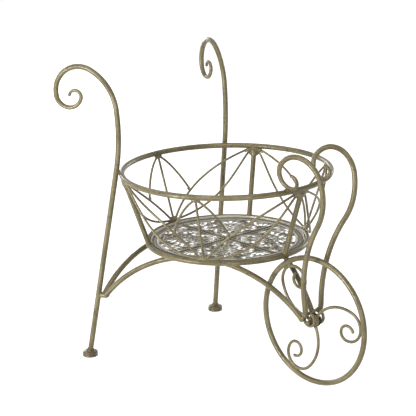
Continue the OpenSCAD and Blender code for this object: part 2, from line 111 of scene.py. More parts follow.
def bronze_paint(name, depth=1.0):
    """Brushed bronze paint. The streaks run along each bar, from where a point is on its bar."""
    paint_dark, paint_light = (0.147, 0.118, 0.047), (0.223, 0.183, 0.083)
    mottled, pitted, chipped = (0.096, 0.076, 0.030), (0.105, 0.085, 0.045), (0.070, 0.066, 0.058)
    streaked, bare_metal = (0.375, 0.325, 0.190), (0.460, 0.410, 0.290)
    streak_squash = 0.07
    finish, tree, shader, place = new_finish(name)
    on_bar = tree.nodes.new("ShaderNodeAttribute")
    on_bar.attribute_name = "on_bar"
    stretch = tree.nodes.new("ShaderNodeMapping")
    stretch.inputs["Scale"].default_value = (1, 1, streak_squash)
    tree.links.new(on_bar.outputs["Vector"], stretch.inputs["Vector"])
    streaks = patches(tree, stretch.outputs["Vector"], 2.6, 0.44, 0.66, 3.0)
    clouds = patches(tree, place, 34, 0.36, 0.64, 3.0)
    mottle = patches(tree, place, 5, 0.4, 0.68, 3.0)
    rubbed = patches(tree, place, 2.4, 0.52, 0.72, 4.0)
    pits = patches(tree, place, 1.1, 0.6, 0.74)
    chips = patches(tree, place, 9, 0.63, 0.69, 4.0)
    colour = between(tree, clouds, tuple(depth * c for c in paint_dark),
                     tuple(depth * c for c in paint_light))
    for share, strength, over in ((mottle, 0.5, mottled), (streaks, 0.5 * depth, streaked),
                                  (rubbed, 0.2 * depth, bare_metal), (pits, 0.55, pitted),
                                  (chips, 0.75, chipped)):
        colour = between(tree, scaled(tree, share, strength), colour, over)
    tree.links.new(colour, shader.inputs["Base Color"])
    tree.links.new(scaled(tree, mottle, 0.16, 0.29), shader.inputs["Roughness"])
    shader.inputs["Metallic"].default_value = 0.1
    shader.inputs["Specular IOR Level"].default_value = 0.5
    tree.links.new(raised(tree, [(clouds, 0.10), (streaks, 0.05), (rubbed, 0.015), (pits, -0.03)]),
                   shader.inputs["Normal"])
    return finish


def worn(points, amount):
    """How far in each point sits from its full round, as a share, from rolling and hammering."""
    long_wave, short_wave = 13.0, 4.5
    return np.array([amount * (0.65 * (0.5 + 0.5 * noise.noise(Vector(p) / long_wave))
                               + 0.35 * (0.5 + 0.5 * noise.noise(Vector(p) / short_wave)))
                     for p in points])


def unit(vector):
    return vector / np.linalg.norm(vector)


def all_round(count):
    """Angles evenly spaced once round a circle."""
    return np.linspace(0, 2 * np.pi, count, endpoint=False)


def rounded_ends(path, radii, rounding):
    """A bar's path with the two ends eased over, without making it longer."""
    ends = []
    for end, inner, radius in ((path[0], path[1], radii[0]), (path[-1], path[-2], radii[-1])):
        back = unit(inner - end)
        ease = rounding * radius
        ends.append([(end + back * ease * (1 - math.sin(a)), radius - ease * (1 - math.cos(a)))
                     for a in (math.radians(d) for d in (90, 60, 30, 0))])
    keep = [i for i in range(len(path))
            if np.linalg.norm(path[i] - path[0]) > rounding * radii[0] * 1.2
            and np.linalg.norm(path[i] - path[-1]) > rounding * radii[-1] * 1.2]
    full = ends[0] + [(path[i], radii[i]) for i in keep] + ends[1][::-1]
    return np.array([p for p, r in full]), np.array([r for p, r in full])


def round_bar(path, radius, sides=24, closed=False, wear=0.02, rounding=0.3):
    """The skin of a round bar along a path in millimetres: points, faces and places on the bar."""
    path = np.array(path, float)
    radii = np.full(len(path), float(radius)) if np.isscalar(radius) else np.array(radius, float)
    if not closed:
        path, radii = rounded_ends(path, radii, rounding)
        ahead, behind = np.vstack([path[1:], path[-1:]]), np.vstack([path[:1], path[:-1]])
    else:
        ahead, behind = np.roll(path, -1, 0), np.roll(path, 1, 0)
    along = (ahead - behind) / np.linalg.norm(ahead - behind, axis=1)[:, None]
    gone = np.concatenate([[0], np.cumsum(np.linalg.norm(np.diff(path, axis=0), axis=1))])
    across = np.cross(along[0], (0, 0, 1) if abs(along[0][2]) < 0.9 else (1, 0, 0))
    angles = all_round(sides)
    rings, places = [], []
    for middle, t, radius_here, distance in zip(path, along, radii, gone):
        across = unit(across - t * np.dot(across, t))
        other = np.cross(t, across)
        spread = np.outer(np.cos(angles), across) + np.outer(np.sin(angles), other)
        rings.append(middle + radius_here * spread)
        places.append(np.column_stack([radius_here * np.cos(angles), radius_here * np.sin(angles),
                                       np.full(sides, distance)]))
    points = np.vstack(rings)
    middles = np.repeat(path, sides, axis=0)
    points = points - (points - middles) * worn(points, wear)[:, None]
    count = len(path)
    faces = [(i * sides + k, i * sides + (k + 1) % sides,
              (i + 1) % count * sides + (k + 1) % sides, (i + 1) % count * sides + k)
             for i in range(count if closed else count - 1) for k in range(sides)]
    places = np.vstack(places)
    if not closed:
        faces += [tuple(reversed(range(sides))),
                  tuple(range((count - 1) * sides, count * sides))]
    return points, faces, places


def make_piece(name, skins, finish, body="frame", stands_for=()):
    """One object from one or more skins drawn in millimetres about the middle of the basket."""
    points, faces, places, first = [], [], [], 0
    for skin_points, skin_faces, skin_places in skins:
        points.append(skin_points)
        places.append(skin_places)
        faces += [tuple(first + i for i in face) for face in skin_faces]
        first += len(skin_points)
    points = (np.vstack(points) - (basket_middle_x, 0, 0)) * to_metres
    mesh = bpy.data.meshes.new(name)
    mesh.from_pydata(points.tolist(), [], faces)
    mesh.polygons.foreach_set("use_smooth", [True] * len(mesh.polygons))
    where = mesh.attributes.new("on_bar", "FLOAT_VECTOR", "POINT")
    where.data.foreach_set("vector", (np.vstack(places) * to_metres).ravel())
    mesh.materials.append(finish)
    made = bpy.data.objects.new(name, mesh)
    bpy.context.scene.collection.objects.link(made)
    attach(made, body)
    if stands_for:
        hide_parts(*stands_for)
    return made


def hoop_path(radius, height):
    """Points round a level hoop, from the back."""
    return [(-radius * math.cos(a), -radius * math.sin(a), height)
            for a in all_round(int(2 * math.pi * radius / path_spacing))]


def ring_bead(path, width):
    """A rippled run of weld round a closed path."""
    path = np.array(path, float)
    gone = np.concatenate([[0], np.cumsum(np.linalg.norm(np.diff(path, axis=0), axis=1))])
    ripple = 1.5 * width
    waves = max(1, round(gone[-1] / ripple))
    radii = width * (0.84 + 0.16 * np.abs(np.sin(np.pi * waves * gone / gone[-1])))
    return round_bar(path, radii, 12, closed=True, wear=0.12)


path_spacing = 2.2
hoop_sides = 28
bronze = bronze_paint("bronze_paint")
rim_path = hoop_path(rim_radius, rim_height)
ring_path = hoop_path(ring_radius, ring_height)
make_piece("basket_rim", [round_bar(rim_path, bar_radius, hoop_sides, closed=True)], bronze,
           stands_for=["upper_rim"])
make_piece("basket_base_ring", [round_bar(ring_path, bar_radius, hoop_sides, closed=True)], bronze,
           stands_for=["lower_ring"])

# Ribs: three straight bars between the two hoops, cut to a saddle at both ends and welded on the
# hoops' middles. Each joint is a rippled bead of weld, painted over with the rest.
rib_radius = 4.25
rib_angles = (("front_rib", 0), ("left_rib", 120), ("right_rib", -120))
basket_turn = -3
bead_width = 1.3


def cos_sin(degrees):
    return math.cos(math.radians(degrees)), math.sin(math.radians(degrees))


def side_point(angle, share):
    """A point on the basket's side, from its angle past the front rib and how far up it is."""
    radius = ring_radius + (rim_radius - ring_radius) * share
    c, s = cos_sin(angle + basket_turn)
    return np.array([radius * c, radius * s, ring_height + (rim_height - ring_height) * share])


def straight(start, end, spacing=path_spacing):
    count = max(4, int(np.linalg.norm(np.array(end) - np.array(start)) / spacing))
    return [np.array(start) + (np.array(end) - np.array(start)) * s
            for s in np.linspace(0, 1, count)]


def saddle(at, out, hoop_along, radius, hoop_radius, count=40):
    """The closed line on which a bar running out from a hoop's middle meets the hoop's skin."""
    out, hoop_along = unit(out), unit(hoop_along)
    across = unit(np.cross(out, hoop_along))
    other = np.cross(out, across)
    line = []
    for a in all_round(count):
        side = radius * (across * math.cos(a) + other * math.sin(a))
        flat_side = side - hoop_along * np.dot(side, hoop_along)
        flat_out = out - hoop_along * np.dot(out, hoop_along)
        qa, qb = np.dot(flat_out, flat_out), 2 * np.dot(flat_side, flat_out)
        qc = np.dot(flat_side, flat_side) - hoop_radius ** 2
        root = math.sqrt(max(qb * qb - 4 * qa * qc, 0))
        line.append(at + side + out * (root - qb) / (2 * qa))
    return line


rib_welds = []
for name, angle in rib_angles:
    low, high = side_point(angle, 0), side_point(angle, 1)
    c, s = cos_sin(angle + basket_turn)
    hoop_along = np.array([-s, c, 0])
    make_piece("basket_" + name, [round_bar(straight(low, high), rib_radius)], bronze,
               stands_for=[name])
    for at, out in ((low, high - low), (high, low - high)):
        rib_welds.append(ring_bead(saddle(at, out, hoop_along, rib_radius - 0.3,
                                          bar_radius + 0.4), bead_width))
make_piece("rib_welds", rib_welds, bronze)

# Panel wires: thin drawn wire on each of the basket's three panels, one straight down the middle
# and three pairs bent each to a curve, tacked to the hoops and to each other. At the top of a rib
# and at the foot of a panel several ends share one mound of weld.
wire_radius, wire_sides = 1.9, 16
panel_turn = 60
weld_gap = 0.2
side_length = math.hypot(rim_radius - ring_radius, rim_height - ring_height)


def turned_by(length, radius):
    return math.degrees(length / radius)


top_share = 1 - (bar_radius + 0.9 * wire_radius + weld_gap) / side_length
low_share = (bar_radius + 0.75 * wire_radius + weld_gap) / side_length
skirt_from = turned_by(rib_radius + wire_radius + weld_gap, rim_radius)
cross_from = skirt_from + turned_by(3 * wire_radius + weld_gap, rim_radius)
cross_to = panel_turn - turned_by(1.9 * wire_radius + weld_gap, ring_radius)
skirt_to = cross_to - turned_by(2.7 * wire_radius + weld_gap, ring_radius)
skirt_share = (bar_radius + wire_radius + weld_gap) / side_length
cross_curve = [(cross_from, top_share), (38.5, 0.57), (cross_to, low_share)]
skirt_curve = [(skirt_from, top_share), (9.5, 0.74), (17.5, 0.11), (skirt_to, skirt_share)]


def curve_point(curve, share):
    points = np.array(curve, float)
    while len(points) > 1:
        points = points[:-1] * (1 - share) + points[1:] * share
    return points[0]


hoop_meets = curve_point(cross_curve, 0.635)
hoop_wire_end = (hoop_meets[0] + turned_by(0.5 * wire_radius, ring_radius),
                 hoop_meets[1] + (1.75 * wire_radius + weld_gap) / side_length)
hoop_wire_curve = [(panel_turn - turned_by(1.65 * wire_radius + weld_gap, rim_radius),
                    1 - (bar_radius + wire_radius + weld_gap) / side_length), (52, 0.83),
                   hoop_wire_end]


def wire_path(middle, way, curve, steps=60):
    return [side_point(middle + way * (panel_turn - a), s)
            for a, s in (curve_point(curve, i / steps) for i in range(steps + 1))]


def fused(balls):
    """A mound of weld from (point, radius) blobs that run into each other."""
    threshold, stiffness = 0.6, 2.0
    shown = math.sqrt(1 - (threshold / stiffness) ** (1 / 3))
    data = bpy.data.metaballs.new("mound")
    data.resolution = data.render_resolution = 0.9
    data.threshold = threshold
    for at, radius in balls:
        blob = data.elements.new()
        blob.co, blob.radius, blob.stiffness = Vector(at), radius / shown, stiffness
    holder = bpy.data.objects.new("mound", data)
    bpy.context.scene.collection.objects.link(holder)
    bpy.context.view_layer.update()
    mesh = holder.evaluated_get(bpy.context.evaluated_depsgraph_get()).to_mesh()
    points = np.array([v.co for v in mesh.vertices])
    faces = [tuple(p.vertices) for p in mesh.polygons]
    holder.evaluated_get(bpy.context.evaluated_depsgraph_get()).to_mesh_clear()
    bpy.data.objects.remove(holder)
    bpy.data.metaballs.remove(data)
    middle = points.mean(0)
    lumps = worn(points, 0.07)
    return points - (points - middle) * lumps[:, None], faces, points


wire_welds = []
for panel, middle in (("left", 60), ("right", -60), ("rear", 180)):
    make_piece(panel + "_panel_centre_wire",
               [round_bar(straight(side_point(middle, 0), side_point(middle, 1)), wire_radius,
                          wire_sides)], bronze, stands_for=[panel + "_centre_wire"])
    for kind, curve in (("cross", cross_curve), ("hoop", hoop_wire_curve), ("skirt", skirt_curve)):
        make_piece(f"{panel}_panel_{kind}_wires",
                   [round_bar(wire_path(middle, way, curve), wire_radius, wire_sides)
                    for way in (-1, 1)], bronze, stands_for=[f"{panel}_{kind}_wires"])
    foot_balls = [(side_point(middle, 0.055), 3.4), (side_point(middle, 0.095), 2.5)]
    top_balls = [(side_point(middle, 0.955), 3.0), (side_point(middle, 0.93), 2.4)]
    for way in (-1, 1):
        foot_balls += [(side_point(middle + way * a, s), r)
                       for a, s, r in ((1.5, 0.05, 3.0), (3.2, 0.05, 2.8), (5.0, 0.05, 2.3),
                                       (2.0, 0.085, 2.2))]
        top_balls += [(side_point(middle + way * a, s), r)
                      for a, s, r in ((1.0, 0.955, 2.8), (1.9, 0.955, 2.2))]
        wire_welds.append(fused([(side_point(middle + way * (panel_turn - hoop_meets[0]) * k,
                                             hoop_meets[1] + u), r)
                                 for k, u, r in ((0.97, 0.012, 2.3), (0.93, 0.03, 2.0))]))
    wire_welds += [fused(foot_balls), fused(top_balls)]
for name, angle in rib_angles:
    balls = [(side_point(angle, 0.945), 5.6), (side_point(angle, 0.905), 5.2),
             (side_point(angle, 0.86), 4.6)]
    for way in (-1, 1):
        balls += [(side_point(angle + way * a, s), r)
                  for a, s, r in ((1.5, 0.945, 4.4), (skirt_from, 0.94, 3.9), (3.1, 0.945, 3.5),
                                  (cross_from, 0.945, 3.1), (skirt_from, 0.895, 2.9),
                                  (1.4, 0.9, 3.4), (cross_from + 1.2, 0.925, 2.3))]
    wire_welds.append(fused(balls))
make_piece("wire_welds", wire_welds, bronze)

# Tray: one pressed sheet, pierced to a lace of leaves and scrolls whose edges are rolled up, with
# a plain border and a turned-up lip. Its dull pewter paint is dark in the pressed ground, partly
# dark paint and partly painted shade, and bright on what stands up, partly rubbed and partly a
# painted highlight. Two half-round ridges cross it, each between two rows of small pressed beads.
sheet_thickness = 1.2
lip_height = 5.0
border_width = 13.0
ridge_radius = 2.0
tray_turn = -4.5
tray_outer = ring_radius - bar_radius - weld_gap
tray_field = tray_outer - border_width
lace_scale = tray_field / 100
sheet_bottom = ring_height - sheet_thickness


def bent_on(state, bend):
    """Where a bend (radius, turn) ends, from a state (x, y, heading); (length, 0) is straight."""
    x, y, heading = state
    radius, turn = bend
    c, s = cos_sin(heading)
    if turn == 0:
        return x + radius * c, y + radius * s, heading
    r = math.copysign(radius, turn)
    end_c, end_s = cos_sin(heading + turn)
    return x - r * s + r * end_s, y + r * c - r * end_c, heading + turn


def bent_path(state, bends, spacing):
    """Points (x, y) along a list of bends, and the distance gone at each."""
    points, gone, total = [state[:2]], [0.0], 0.0
    for radius, turn in bends:
        length = radius if turn == 0 else radius * math.radians(abs(turn))
        steps = max(2, math.ceil(length / spacing))
        for i in range(1, steps + 1):
            part = (radius * i / steps, 0) if turn == 0 else (radius, turn * i / steps)
            points.append(bent_on(state, part)[:2])
            gone.append(total + length * i / steps)
        state = bent_on(state, (radius, turn))
        total += length
    return points, gone


def seen_from(points, x, y, turn):
    """Points as seen from a place on the sheet that is turned by an angle."""
    c, s = cos_sin(turn)
    q = points - (x, y)
    return np.column_stack([q[:, 0] * c + q[:, 1] * s, q[:, 1] * c - q[:, 0] * s])


def leaf_distance(points, start, length, width):
    r = (length * length / 4 + width * width / 4) / width
    x, y = points[:, 0] - start - length / 2, points[:, 1]
    return np.maximum(np.hypot(x, y - (r - width / 2)), np.hypot(x, y + (r - width / 2))) - r


def fan_distance(points, count, spread, start, length, width):
    return np.minimum.reduce([
        leaf_distance(seen_from(points, 0, 0, spread * (i / (count - 1) - 0.5)), start, length,
                      width) for i in range(count)])


def slot_distance(points, state, bends, width):
    line = np.array(bent_path(state, bends, 0.6)[0])
    nearest = np.full(len(points), 1e9)
    for a, b in zip(line[:-1], line[1:]):
        d = b - a
        s = np.clip(((points - a) @ d) / (d @ d), 0, 1)
        nearest = np.minimum(nearest, np.hypot(*(points - a - s[:, None] * d).T))
    return nearest - width / 2


def arc_slot_distance(points, radius, half_turn, width):
    c, s = cos_sin(half_turn)
    start = (radius * c, -radius * s, 90 - half_turn)
    return slot_distance(points, start, [(radius, 2 * half_turn)], width)


def scroll_distance(points, radius, width):
    turn = 215
    x, y, heading = bent_on((0, 0, 90), (radius, -turn))
    return slot_distance(points, (-x, -y, heading), [(radius, turn), (radius, -turn)], width)


def lace_distance(points):
    """Distance from each point of the sheet to the nearest opening, for a field 100 in radius."""
    angle = np.arctan2(points[:, 1], points[:, 0]) % (np.pi / 2)
    reach = np.hypot(points[:, 0], points[:, 1])
    p = np.column_stack([reach * np.cos(angle), reach * np.sin(angle)])
    q = seen_from(p, 0, 0, 45)
    rose = q - (57, 0)
    found = [fan_distance(q - (10, 0), 5, 106, 6.5, 14, 4.4), leaf_distance(q, 33, 9, 5),
             fan_distance(q - (73.5, 0), 5, 140, 5.5, 13.5, 4.5),
             arc_slot_distance(q, 96.2, 8, 2.8), np.hypot(rose[:, 0], rose[:, 1]) - 2.6]
    found += [arc_slot_distance(seen_from(rose, 0, 0, a), 6.9, 26, 2.8)
              for a in (45, 135, 225, 315)]
    found += [leaf_distance(seen_from(rose, 0, 0, a), 10, 6, 3.6) for a in range(0, 360, 40)]
    for m in (p, p[:, ::-1]):
        found += [scroll_distance(seen_from(m, 44.5, 17.6, -6), 4.4, 3.1),
                  scroll_distance(seen_from(m, 66, 24.6, 76), 4.6, 3.1),
                  scroll_distance(seen_from(m, 83.2, 37.4, 65), 4.2, 3.0),
                  fan_distance(seen_from(m, 75, 8.2, 38), 4, 76, 7, 13, 4),
                  leaf_distance(seen_from(m, 27, 9, 12), 0, 10, 4.4),
                  leaf_distance(seen_from(m, 54.5, 9.6, 10), 0, 12, 4.4),
                  leaf_distance(seen_from(m, 60.5, 40, -48), 0, 7, 3.6),
                  arc_slot_distance(seen_from(m, 0, 0, 17), 96.2, 3.2, 2.8)]
    return np.minimum.reduce(found)


def pewter_paint():
    """Dull pewter paint: dark in the pressed ground, partly dark paint and partly painted shade;
    bright on what stands up, partly rubbed and partly a painted highlight.
    """
    ground_and_shade_dark, ground_and_shade_light = (0.036, 0.031, 0.020), (0.160, 0.140, 0.095)
    metal_dark, metal_light = (0.460, 0.420, 0.325), (0.620, 0.585, 0.490)
    rubbed_and_highlight_bright = (0.680, 0.660, 0.610)
    finish, tree, shader, place = new_finish("pewter_paint")
    height = tree.nodes.new("ShaderNodeAttribute")
    height.attribute_name = "pressed"
    proud = tree.nodes.new("ShaderNodeMapRange")
    proud.interpolation_type = "SMOOTHSTEP"
    proud.inputs["From Min"].default_value = 0.08
    proud.inputs["From Max"].default_value = 0.75
    tree.links.new(height.outputs["Fac"], proud.inputs["Value"])
    clouds = patches(tree, place, 30, 0.36, 0.64, 3.0)
    mottle = patches(tree, place, 3.2, 0.36, 0.66, 4.0)
    stipple = patches(tree, place, 1.2, 0.42, 0.62, 3.0)
    # Where little stands up the colour is the dark ground, partly painted shade; the brightest
    # metal on the crests is partly a painted highlight.
    ground = between(tree, mottle, ground_and_shade_dark, ground_and_shade_light)
    metal = between(tree, clouds, metal_dark, metal_light)
    metal = between(tree, scaled(tree, mottle, 0.4), metal, rubbed_and_highlight_bright)
    colour = between(tree, proud.outputs["Result"], ground, metal)
    tree.links.new(colour, shader.inputs["Base Color"])
    tree.links.new(scaled(tree, mottle, 0.18, 0.38), shader.inputs["Roughness"])
    shader.inputs["Metallic"].default_value = 0.5
    tree.links.new(raised(tree, [(clouds, 0.2), (stipple, 0.16), (mottle, 0.12)]),
                   shader.inputs["Normal"])
    return finish


def lace_sheet(spacing, trimmed):
    """The pierced field, cut from a fine grid along the openings: points, faces, and the share to
    which each point stands up on a rolled edge."""
    reach = tray_field + 1.5
    marks = np.arange(-reach - spacing, reach + 2 * spacing, spacing)
    gx, gy = np.meshgrid(marks, marks)
    flat = np.column_stack([gx.ravel(), gy.ravel()])
    opening = lace_distance(flat / lace_scale) * lace_scale - trimmed
    level = np.minimum(opening, reach - np.hypot(flat[:, 0], flat[:, 1]))
    points, where, faces, cuts = [], {}, [], {}

    def corner(i):
        if i not in where:
            where[i] = len(points)
            points.append((flat[i][0], flat[i][1], opening[i]))
        return where[i]

    def cut(i, j):
        key = (min(i, j), max(i, j))
        if key not in cuts:
            s = level[i] / (level[i] - level[j])
            cuts[key] = len(points)
            points.append((*(flat[i] + (flat[j] - flat[i]) * s),
                           opening[i] + (opening[j] - opening[i]) * s))
        return cuts[key]

    across = len(marks)
    inside = (level > 0).reshape(across, across)
    kept = inside[:-1, :-1].astype(int) + inside[1:, :-1] + inside[:-1, 1:] + inside[1:, 1:]
    for row, column in zip(*np.nonzero(kept)):
        i = row * across + column
        corners = (i, i + 1, i + 1 + across, i + across)
        if kept[row, column] == 4:
            faces.append(tuple(corner(c) for c in corners))
            continue
        face = []
        for a, b in zip(corners, corners[1:] + corners[:1]):
            if level[a] > 0:
                face.append(corner(a))
            if (level[a] > 0) != (level[b] > 0):
                face.append(cut(a, b))
        faces.append(tuple(face))
    points = np.array(points)
    opening = points[:, 2].copy()
    crown, roll_width, roll_height = 1.15, 0.85, 0.85
    # The same share sets the paint: the crests of the rolls get a painted highlight, and the foot
    # of each roll at an opening painted shade.
    rolled = np.exp(-((opening - crown) / roll_width) ** 2)
    points[:, 2] = sheet_thickness + roll_height * rolled
    return points, faces, rolled


def on_tray(points):
    """Points of the tray, turned and set at the height of its underside."""
    c, s = cos_sin(tray_turn)
    return np.column_stack([points[:, 0] * c - points[:, 1] * s,
                            points[:, 0] * s + points[:, 1] * c, points[:, 2] + sheet_bottom])


def tray_piece(name, points, faces, pressed, stands_for=()):
    made = make_piece(name, [(on_tray(points), faces, points)], pewter,
                      stands_for=stands_for)
    proud = made.data.attributes.new("pressed", "FLOAT", "POINT")
    proud.data.foreach_set("value", np.array(pressed, float))
    return made


def spun(profile, count=180):
    """A profile of (radius, height, pressed) spun round the upright axis."""
    points, faces, pressed = [], [], []
    for a in all_round(count):
        points += [(r * math.cos(a), r * math.sin(a), z) for r, z, w in profile]
        pressed += [w for r, z, w in profile]
    rows = len(profile)
    for i in range(count):
        j = (i + 1) % count
        faces += [(i * rows + k, j * rows + k, j * rows + (k + 1) % rows,
                   i * rows + (k + 1) % rows) for k in range(rows)]
    return np.array(points), faces, pressed


pewter = pewter_paint()
tray_lace = tray_piece("tray_lace", *lace_sheet(spacing=0.7, trimmed=0.5), ["tray"])
sheet = tray_lace.modifiers.new("sheet", "SOLIDIFY")
sheet.thickness = sheet_thickness * to_metres
sheet.offset = -1

inner_bend, outer_bend = 2.0, 2.6
# The share along the border sets the paint: the bead's crest and the lip's top get a painted
# highlight, the corner at the lip's foot and its outer face, across the gap to the ring, painted
# shade.
border_profile = [(tray_field - 0.6, 0.15, 0.1), (tray_field - 0.6, 1.3, 0.3)]
for c, s in (cos_sin(a) for a in range(15, 180, 15)):
    border_profile.append((tray_field + 1.2 - 1.8 * c, 1.25 + 0.9 * s, 0.3 + 0.7 * s))
border_profile += [(tray_field + 3.3, 1.2, 0.05), (tray_field + 4.4, 1.2, 0.3),
                   (tray_outer - 5.6, 1.2, 0.45), (tray_outer - 4.2, 1.15, 0.2)]
for a in range(0, 91, 15):
    c, s = cos_sin(a)
    border_profile.append((tray_outer - sheet_thickness - inner_bend + inner_bend * s,
                           sheet_thickness + inner_bend - inner_bend * c, 0.1 + a / 150))
border_profile += [(tray_outer - 1.15, lip_height - 0.5, 0.9),
                   (tray_outer - 0.9, lip_height - 0.1, 1), (tray_outer - 0.6, lip_height, 0.4),
                   (tray_outer - 0.2, lip_height - 0.2, 0), (tray_outer, lip_height - 0.6, 0)]
for c, s in (cos_sin(a) for a in range(90, -1, -15)):
    border_profile.append((tray_outer - outer_bend + outer_bend * s,
                           outer_bend - outer_bend * c, 0.5))
tray_piece("tray_border", *spun(border_profile))


def dome(at, radius, height, sides=10, rows=4):
    """A small pressed dome on the sheet."""
    points, faces = [(at[0], at[1], at[2] + height)], []
    for k in range(1, rows + 1):
        a = math.radians(90 * k / rows)
        points += [(at[0] + radius * math.sin(a) * math.cos(t),
                    at[1] + radius * math.sin(a) * math.sin(t), at[2] + height * math.cos(a))
                   for t in all_round(sides)]
    for k in range(sides):
        faces.append((0, 1 + k, 1 + (k + 1) % sides))
        for j in range(rows - 1):
            a, b = 1 + j * sides, 1 + (j + 1) * sides
            faces.append((a + k, b + k, b + (k + 1) % sides, a + (k + 1) % sides))
    faces.append(tuple(1 + (rows - 1) * sides + k for k in reversed(range(sides))))
    return points, faces


bead_pitch, bead_offset, bead_radius, bead_height = 3.9, 4.3, 1.45, 1.3
bright_points = 21
bead_points, bead_faces, bead_pressed = [], [], []
for turn in (0, 90, 180, 270):
    c, s = cos_sin(turn)
    for y in (-bead_offset, bead_offset):
        for x in np.arange(6.5, tray_field - 2, bead_pitch):
            points, faces = dome((x * c - y * s, x * s + y * c, sheet_thickness - 0.2),
                                 bead_radius, bead_height)
            first = len(bead_points)
            bead_points += points
            bead_faces += [tuple(first + i for i in face) for face in faces]
            # Bead tops get a painted highlight; their sides stay dark as painted shade.
            bead_pressed += [1.0] * bright_points + [0.2] * (len(points) - bright_points)
tray_piece("tray_beads", np.array(bead_points), bead_faces, bead_pressed)

ridge_skins = []
reach = tray_field - 0.5
for turn in (0, 90):
    c, s = cos_sin(turn)
    points, faces, places = round_bar(straight((-reach * c, -reach * s, sheet_thickness),
                                               (reach * c, reach * s, sheet_thickness), 1.5),
                                      ridge_radius, 20, wear=0.08)
    points[:, 2] = np.maximum(points[:, 2], sheet_thickness / 2)
    ridge_skins.append((on_tray(points), faces, places))
make_piece("tray_ridges", ridge_skins, bronze_paint("ridge_bronze", 0.5))

# Legs: one length of bar each, leaning in past the rim, bent back over as a barrow handle and
# ended in a curl drawn down to a thin tip under the hammer. Each is tacked to the rim outside.
both_sides = (("left", 1), ("right", -1))
leg_offset, leg_splay, leg_lean = 66.0, 24.0, 10.6
lean_c = cos_sin(leg_lean)[0]
leg_foot_height = 8.0
handle_start = 4.0
handle_bends = [(340, -17), (82, -55.5), (42.5, -127.5)]
handle_curl = [(22.5, -150), (10.5, -195.5)]
neck_radius, tip_radius = 4.33, 2.5
bent_spacing, bar_sides = 1.8, 26
leg_reach = math.sqrt((rim_radius + (2 * bar_radius + weld_gap) / lean_c) ** 2 - leg_offset ** 2)


def leg_along(height):
    """How far out a straight leg is, along its plane, at a height."""
    return leg_reach + (rim_height - height) * math.tan(math.radians(leg_lean))


def leg_point(out, height, side):
    """A point in a leg's upright plane; side is -1 on the right and 1 on the left."""
    c, s = cos_sin(leg_splay)
    return np.array([leg_offset * s - out * c, side * (leg_offset * c + out * s), height])


def drawn_radii(gone, straight_length, bar_length):
    """A bar's radius along it, a little thinner over its bends and then drawn down to the tip."""
    return np.interp(gone, [straight_length, bar_length, gone[-1]],
                     [bar_radius, neck_radius, tip_radius])


leg_straight = (rim_height + handle_start - leg_foot_height) / lean_c
leg_flat, leg_gone = bent_path((leg_along(leg_foot_height), leg_foot_height, 90 + leg_lean),
                               [(leg_straight, 0)] + handle_bends + handle_curl, bent_spacing)
leg_bar_length = leg_straight + sum(r * math.radians(abs(t)) for r, t in handle_bends)
leg_radii = drawn_radii(leg_gone, leg_straight, leg_bar_length)


def nearest_points(first, second):
    """The two points at which two paths come closest."""
    first, second = np.array(first), np.array(second)
    gaps = np.linalg.norm(first[:, None, :] - second[None, :, :], axis=2)
    i, j = np.unravel_index(gaps.argmin(), gaps.shape)
    return first[i], second[j]


def tack(first, second, length, width):
    """A short run of weld where two bars touch, with a second across it where they cross."""
    a, b = nearest_points(first, second)
    middle = (a + b) / 2
    first, second = np.array(first), np.array(second)
    i = np.linalg.norm(first - a, axis=1).argmin()
    j = np.linalg.norm(second - b, axis=1).argmin()
    t = first[min(i + 1, len(first) - 1)] - first[max(i - 1, 0)]
    u = second[(j + 1) % len(second)] - second[j - 1]
    t, u = unit(t), unit(u)
    if np.dot(t, u) < 0:
        u = -u
    thinning, crossing = 0.35, 0.4
    balls = [(middle + unit(t + u) * s * length, width * (1 - thinning * abs(s)))
             for s in (-1, -0.5, 0, 0.5, 1)]
    if np.linalg.norm(t - u) > crossing:
        balls += [(middle + unit(t - u) * s * length * 0.8, width * (1 - thinning * abs(s)))
                  for s in (-1, -0.5, 0.5, 1)]
    return fused(balls)


leg_paths, leg_welds = {}, []
past_rim = 250
for side, way in both_sides:
    leg_paths[side] = [leg_point(x, z, way) for x, z in leg_flat]
    make_piece(side + "_leg_and_handle", [round_bar(leg_paths[side], leg_radii, bar_sides)], bronze,
               stands_for=[side + "_leg"])
    leg_welds.append(tack(leg_paths[side][:past_rim], rim_path, 4.4, 2.4))
make_piece("leg_rim_welds", leg_welds, bronze)

# Feet: thick round pads with a groove round the edge and a small collar on top, each welded round
# the bottom of its leg. Their paint is darker.
foot_radius, foot_height = 13.0, 12.0
foot_bronze = bronze_paint("foot_bronze", 0.7)
foot_profile = [(0.01, 0.2), (foot_radius - 1.2, 0.0), (foot_radius - 0.3, 0.3), (foot_radius, 1.0),
                (foot_radius, 3.3), (foot_radius - 0.7, 3.8), (foot_radius - 0.7, 4.2),
                (foot_radius - 0.1, 4.7), (foot_radius, 7.2), (foot_radius - 0.5, 8.0),
                (foot_radius - 1.6, 8.5), (9.0, 8.9), (7.4, 9.3), (6.7, 10.2), (6.4, 11.2),
                (5.8, foot_height), (4.6, foot_height), (0.01, foot_height)]
collar_radius = 5.0


def turned(profile, count):
    """A plain (radius, height) profile turned round the upright axis."""
    points, faces, pressed = spun([(r, z, 0) for r, z in profile], count)
    return points, faces


for side, way in both_sides:
    points, faces = turned(foot_profile, 56)
    dents = worn(points, 0.03)
    points[:, :2] *= (1 - dents)[:, None]
    points = points + leg_point(leg_along(foot_height / 2), 0, way)
    leg_axis = unit(leg_paths[side][6] - leg_paths[side][0])
    at = leg_point(leg_along(foot_height), foot_height, way)
    across = unit(np.cross(leg_axis, (0, 1, 0)))
    other = np.cross(leg_axis, across)
    collar = [at + collar_radius * (across * math.cos(a) + other * math.sin(a)) - leg_axis * 0.2
              for a in all_round(44)]
    make_piece(side + "_foot_pad", [(points, faces, points), ring_bead(collar, 1.2)], foot_bronze,
               stands_for=[side + "_foot"])

